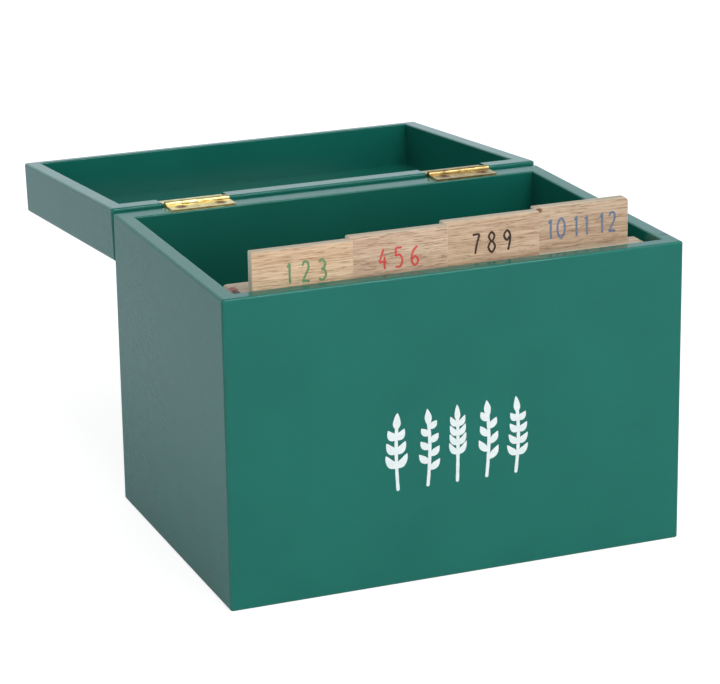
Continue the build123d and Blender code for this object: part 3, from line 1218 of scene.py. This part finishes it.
@dataclass
class TabDividers:
    """The four oak dividers and the numbers of the sowing months on their tabs.

    Each dark spot goes with its divider's place in the row, from 0 at the front. Its own place
    is given from the top left corner of that divider's tab. The first two are painted shadow of
    the dark gap at the dividers' left end, by the well's wall; the last is a knot.
    """

    nodes: dict[str, bpy.types.Object]
    hand: NumberHand = field(default_factory=NumberHand)
    tab_width: float = 50.0 * MM
    grain_shift: float = 3.7
    labels: tuple[TabLabel, ...] = (
        TabLabel(
            words=("1", "2", "3"),
            ink=BrushedInk("ink_green", srgb(58, 122, 72), srgb(120, 150, 104)),
            below_top=12.0 * MM,
            shift=1.5 * MM,
        ),
        TabLabel(
            words=("4", "5", "6"),
            ink=BrushedInk("ink_red", srgb(206, 48, 48), srgb(208, 96, 82)),
            below_top=12.4 * MM,
        ),
        TabLabel(
            words=("7", "8", "9"),
            ink=BrushedInk("ink_black", srgb(38, 20, 16), srgb(60, 40, 32)),
            below_top=12.4 * MM,
        ),
        TabLabel(
            words=("10", "11", "12"),
            ink=BrushedInk("ink_blue", srgb(62, 96, 140), srgb(122, 134, 150)),
            below_top=11.4 * MM,
        ),
    )
    tones: tuple[Colour, ...] = (
        (1.0, 1.02, 0.98),
        (0.97, 1.01, 1.08),
        (0.9, 0.92, 0.93),
        (0.84, 0.88, 0.92),
    )
    # Dark spots: the first two are painted shadow of the gap at the dividers' left end, by the well's
    # wall; the last is a knot.
    dark_spots: tuple[tuple[int, DarkSpot], ...] = (
        (1, DarkSpot(-55.0 * MM, -20.0 * MM, radius=1.2 * MM, colour=srgb(66, 34, 30))),
        (2, DarkSpot(-104.6 * MM, -20.0 * MM, radius=1.3 * MM, colour=srgb(150, 84, 80))),
        (3, DarkSpot(2.0 * MM, -1.5 * MM, radius=1.5 * MM, colour=srgb(128, 84, 56))),
    )

    def build(self) -> None:
        """Veneer each divider and letter its tab."""
        first_left = -self.tab_width * len(self.labels) / 2
        for index, label in enumerate(self.labels):
            name = f"divider_{index + 1}"
            low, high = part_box(name)
            tab_left = first_left + index * self.tab_width
            veneer = OakVeneer(
                name=f"oak_{name}",
                face_y=low.y,
                thickness=high.y - low.y,
                shift=self.grain_shift * index,
                tone=self.tones[index],
                dark_spots=self.dark_spots_on(index, tab_left, high.z),
            )
            dress(self.nodes[name], veneer.material())
            middle = tab_left + self.tab_width / 2 + label.shift
            layer = PaintLayer(PaintedFace(middle, low.y, high.z - label.below_top))
            self.hand.write(layer, label.words)
            piece = layer.build(f"tab_{index + 1}_numbers", label.ink.material())
            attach(piece, name)
            LOG.info("divider %d: veneer and %s", index + 1, " ".join(label.words))

    def dark_spots_on(self, index: int, tab_left: float, top: float) -> tuple[DarkSpot, ...]:
        """Place the dark spots of one divider in the box.

        Args:
            index: the divider, from 0 at the front.
            tab_left: the left edge of its tab.
            top: the top of its tab.

        Returns:
            Its dark spots.
        """
        own = [knot for divider, knot in self.dark_spots if divider == index]
        return tuple(replace(knot, x=tab_left + knot.x, z=top + knot.z) for knot in own)


@dataclass(frozen=True)
class Sprig:
    """How one sprig grows: its leaves, from first_leaf up the stem, and how each one stands."""

    leaves: int
    length: float
    width: float
    spread: float
    bow: float
    alternate: bool = False
    first_leaf: float = 0.3
    taper: float = 0.35
    tip_length: float = 8.5 * MM


@dataclass
class FrontSprigs:
    """Five plant sprigs in white paint across the front board."""

    left: float = -40.0 * MM
    right: float = 36.5 * MM
    foot: float = 47.5 * MM
    height: float = 39.0 * MM
    film: float = 0.05 * MM
    stem: float = 1.7 * MM
    stem_points: int = 5
    stem_stop: float = 0.7
    last_leaf: float = 0.84
    leaf_bulge: float = 0.09
    white: BrushedInk = BrushedInk(
        "white_paint", srgb(232, 238, 240), srgb(214, 226, 226), roughness=(0.4, 0.5)
    )
    sprigs: tuple[Sprig, ...] = (
        Sprig(3, 8.6 * MM, 3.9 * MM, math.radians(40), -0.02),
        Sprig(7, 7.4 * MM, 3.5 * MM, math.radians(50), 0.03, alternate=True, first_leaf=0.22),
        Sprig(4, 7.6 * MM, 2.9 * MM, math.radians(36), 0.01, first_leaf=0.36, taper=0.2),
        Sprig(6, 8.4 * MM, 3.5 * MM, math.radians(40), 0.03, alternate=True, first_leaf=0.24),
        Sprig(4, 7.6 * MM, 3.3 * MM, math.radians(46), 0.035, first_leaf=0.24),
    )

    def build(self) -> None:
        """Paint the row of sprigs and fix it to the base."""
        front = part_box("front_board")[0].y
        layer = PaintLayer(PaintedFace(0.0, front, self.foot), film=self.film)
        pitch = (self.right - self.left) / len(self.sprigs)
        for index, sprig in enumerate(self.sprigs):
            self.paint(layer, self.left + (index + 0.5) * pitch, sprig)
        piece = layer.build("front_sprigs", self.white.material())
        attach(piece, "base")
        LOG.info("painted %d sprigs", len(self.sprigs))

    def on_stem(self, x: float, sprig: Sprig, share: float) -> Span:
        """A point of a stem, which bows to the right by bow times sin(pi share) of its height.

        Args:
            x: the middle of the sprig.
            sprig: the sprig.
            share: where on the stem, 0 at its foot and 1 at its tip.

        Returns:
            The point, as across and up.
        """
        bowed = sprig.bow * self.height * math.sin(math.pi * share)
        return x + bowed, share * self.height

    def paint(self, layer: PaintLayer, x: float, sprig: Sprig) -> None:
        """Paint one sprig: a bowed stem, its leaves and a leaf at the tip.

        Leaf k starts on the stem at first_leaf + (last_leaf - first_leaf) k / n of its height, n
        being the number of places, and gets shorter by taper towards the tip. The stem stops
        inside the leaf at the tip, short of its end by stem_stop of its length.

        Args:
            layer: the paint that takes the strokes.
            x: the middle of the sprig.
            sprig: how it grows.
        """
        stop = 1.0 - sprig.tip_length / self.height * self.stem_stop
        stem = [self.on_stem(x, sprig, share) for share in np.linspace(0.0, stop, self.stem_points)]
        layer.stroke(smooth_path(stem), self.stem)
        start = 1.0 - sprig.tip_length / self.height
        tip = [self.on_stem(x, sprig, share) for share in (start, (start + 1) / 2, 1.0)]
        layer.stroke(smooth_path(tip), sprig.width, StrokeForm.LEAF)
        for leaf in range(sprig.leaves):
            share = sprig.first_leaf + (self.last_leaf - sprig.first_leaf) * leaf / sprig.leaves
            length = sprig.length * (1 - sprig.taper * leaf / sprig.leaves)
            sides = (1 - 2 * (leaf % 2),) if sprig.alternate else (-1, 1)
            for side in sides:
                foot = np.array(self.on_stem(x, sprig, share))
                lie = np.array([side * math.sin(sprig.spread), math.cos(sprig.spread)])
                out = np.array([side * math.cos(sprig.spread), -math.sin(sprig.spread)])
                bend = foot + lie * length * 0.5 + out * length * self.leaf_bulge
                path = smooth_path([foot, bend, foot + lie * length])
                layer.stroke(path, sprig.width, StrokeForm.LEAF)


# ---------------------------------------------------------------------------- studio


@dataclass(frozen=True)
class PhotoCamera:
    """The photograph's viewpoint, found from the edges of the box."""

    place: Triple = (-0.5203, -1.2682, 0.5296)
    azimuth: float = math.radians(-21.617)
    drop: float = math.radians(17.652)
    roll: float = math.radians(-0.867)
    focal_px: float = 2889.4
    frame_width_px: float = 720.0
    sensor_mm: float = 36.0
    sees_to: float = 50.0

    def build(self) -> bpy.types.Object:
        """Stand the camera up and make it the scene's own.

        Returns:
            The camera.
        """
        turn, drop = self.azimuth, self.drop
        flat = math.cos(drop)
        ahead = Vector((-math.sin(turn) * flat, math.cos(turn) * flat, -math.sin(drop)))
        level = Vector((math.cos(turn), math.sin(turn), 0.0))
        above = level.cross(ahead)
        right = level * math.cos(self.roll) + above * math.sin(self.roll)
        up = above * math.cos(self.roll) - level * math.sin(self.roll)
        lens = bpy.data.cameras.new("photo_camera")
        lens.sensor_width = self.sensor_mm
        lens.lens = self.focal_px / self.frame_width_px * self.sensor_mm
        lens.clip_end = self.sees_to
        camera = bpy.data.objects.new("photo_camera", lens)
        axes = Matrix((right, up, -ahead)).transposed().to_4x4()
        camera.matrix_world = Matrix.Translation(self.place) @ axes
        bpy.context.scene.collection.objects.link(camera)
        bpy.context.scene.camera = camera
        return camera


@dataclass(frozen=True)
class SoftBox:
    """A large soft lamp aimed at a point."""

    name: str
    place: Triple
    target: Triple
    size: Span
    watts: float
    use: LampUse = LampUse.LIGHT

    def build(self) -> bpy.types.Object:
        """Hang the lamp.

        Returns:
            The lamp.
        """
        lamp = bpy.data.lights.new(self.name, "AREA")
        lamp.shape = "RECTANGLE"
        lamp.size, lamp.size_y = self.size
        lamp.energy = self.watts
        holder = bpy.data.objects.new(self.name, lamp)
        aim = Vector(self.target) - Vector(self.place)
        holder.location = self.place
        holder.rotation_euler = aim.to_track_quat("-Z", "Y").to_euler()
        holder.visible_glossy = self.use is LampUse.MIRROR
        holder.visible_diffuse = self.use is LampUse.LIGHT
        bpy.context.scene.collection.objects.link(holder)
        return holder


@dataclass
class Studio:
    """A plain pale floor under even white light.

    Reflections see a room that is cool below and dims to overhead above, between the two values
    of ceiling_band, where 0 looks level and 1 straight up.
    """

    floor_half: float = 8.0
    floor_drop: float = 0.2 * MM
    floor_tone: float = 0.8
    camera_share: float = 0.42
    camera_lift: float = 0.81
    mirror_share: float = 0.19
    ambient: float = 0.5
    backdrop: float = 1.0
    cool: Colour = (0.84, 0.955, 1.03)
    overhead: Colour = (0.36, 0.4, 0.43)
    ceiling_band: Span = (0.32, 0.85)
    lamps: tuple[SoftBox, ...] = (
        SoftBox("key_lamp", (0.3, -2.1, 0.5), (0.0, 0.0, 0.07), (1.6, 0.8), 16.8),
        SoftBox("edge_lamp", (0.42, -0.85, 1.35), (0.0, 0.0, 0.15), (0.5, 0.14), 5.5),
        SoftBox("glint_lamp", (0.42, -0.85, 1.35), (0.0, 0.0, 0.15), (0.6, 0.26), 12.5, LampUse.MIRROR),
        SoftBox("sheen_lamp", (0.45, -2.1, 0.76), (0.0, 0.0, 0.1), (1.0, 0.34), 2.8, LampUse.MIRROR),
        SoftBox("top_lamp", (0.1, -0.5, 2.2), (0.0, 0.1, 0.1), (1.0, 1.0), 9.0),
        SoftBox("back_lamp", (0.4, 2.3, 0.9), (0.0, 0.1, 0.1), (1.4, 0.9), 8.0),
    )

    def build(self) -> None:
        """Lay the floor, light the world, hang the lamps and set the camera."""
        self.floor()
        self.world()
        for lamp in self.lamps:
            lamp.build()
        PhotoCamera().build()
        bpy.context.scene.view_settings.view_transform = "Standard"
        LOG.info("studio: floor, world, %d lamps and camera", len(self.lamps))

    def floor(self) -> None:
        """Lay a plain floor.

        Lamps see a pale matte surface. The camera sees it lifted to white by its own colour, with
        the object's shadow kept, and reflections see some of that white too.
        """
        half = self.floor_half
        mesh = bpy.data.meshes.new("floor")
        corners = [(-half, -half), (half, -half), (half, half), (-half, half)]
        mesh.from_pydata([(x, y, -self.floor_drop) for x, y in corners], [], [(0, 1, 2, 3)])
        sheet = bpy.data.objects.new("floor", mesh)
        bpy.context.scene.collection.objects.link(sheet)
        graph = NodeGraph(bpy.data.materials.new("pale_floor"))
        mirrored = graph.node("ShaderNodeLightPath").outputs["Is Glossy Ray"]
        matte = self.tinted(graph, mirrored, "ShaderNodeBsdfDiffuse", self.floor_tone)
        shown = self.tinted(graph, mirrored, "ShaderNodeBsdfDiffuse", self.camera_share)
        lift = self.tinted(graph, mirrored, "ShaderNodeEmission", self.camera_lift)
        pale = graph.tree.nodes.new("ShaderNodeAddShader")
        graph.tree.links.new(shown.outputs[0], pale.inputs[0])
        graph.tree.links.new(lift.outputs[0], pale.inputs[1])
        graph.close(graph.mix_shaders(self.seen(graph, self.mirror_share), matte, pale))
        dress(sheet, graph.owner)

    def tinted(self, graph: NodeGraph, mirrored: Socket, kind: str, tone: float) -> bpy.types.Node:
        """A shader of one grey, which reflections see a little cooler.

        Args:
            graph: the floor's nodes.
            mirrored: 1 for a mirror ray.
            kind: the shader's node type.
            tone: the grey.

        Returns:
            The shader's node.
        """
        grey, cooler = toned(WHITE, tone), toned(self.cool, tone)
        return graph.node(kind, Color=graph.blend(mirrored, grey, cooler))

    @staticmethod
    def seen(graph: NodeGraph, mirror_share: float) -> Socket:
        """Tell the rays that look at the floor from those that light the object.

        Args:
            graph: the nodes that ask.
            mirror_share: how much of the white a reflection gets.

        Returns:
            1 for camera and glass rays, mirror_share for mirror rays and 0 for the rest.
        """
        path = graph.tree.nodes.new("ShaderNodeLightPath")
        mirrored = graph.math("MULTIPLY", path.outputs["Is Glossy Ray"], mirror_share)
        looking = (path.outputs["Is Camera Ray"], mirrored, path.outputs["Is Transmission Ray"])
        return graph.chain("MAXIMUM", looking)

    def world(self) -> None:
        """Light everything evenly, show white behind and the room in reflections."""
        bpy.context.scene.world = bpy.data.worlds.new("white_room")
        graph = NodeGraph(bpy.context.scene.world)
        height = graph.axes(graph.coordinates.outputs["Generated"])[2]
        room = graph.blend(graph.band(height, *self.ceiling_band), self.cool, self.overhead)
        mirrored = graph.node("ShaderNodeLightPath").outputs["Is Glossy Ray"]
        shown = graph.blend(mirrored, WHITE, room)
        white = graph.node("ShaderNodeBackground", Color=shown, Strength=self.backdrop)
        even = graph.node("ShaderNodeBackground", Color=WHITE, Strength=self.ambient)
        graph.close(graph.mix_shaders(self.seen(graph, 1.0), even, white))


def main() -> None:
    """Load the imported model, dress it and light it."""
    logging.basicConfig(level=logging.INFO, format="%(name)s: %(message)s")
    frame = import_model()
    nodes = frame["nodes"]
    PaintedCase(nodes).dress()
    BrassHinges(nodes).dress()
    TabDividers(nodes).build()
    FrontSprigs().build()
    Studio().build()


if __name__ == "__main__":
    main()
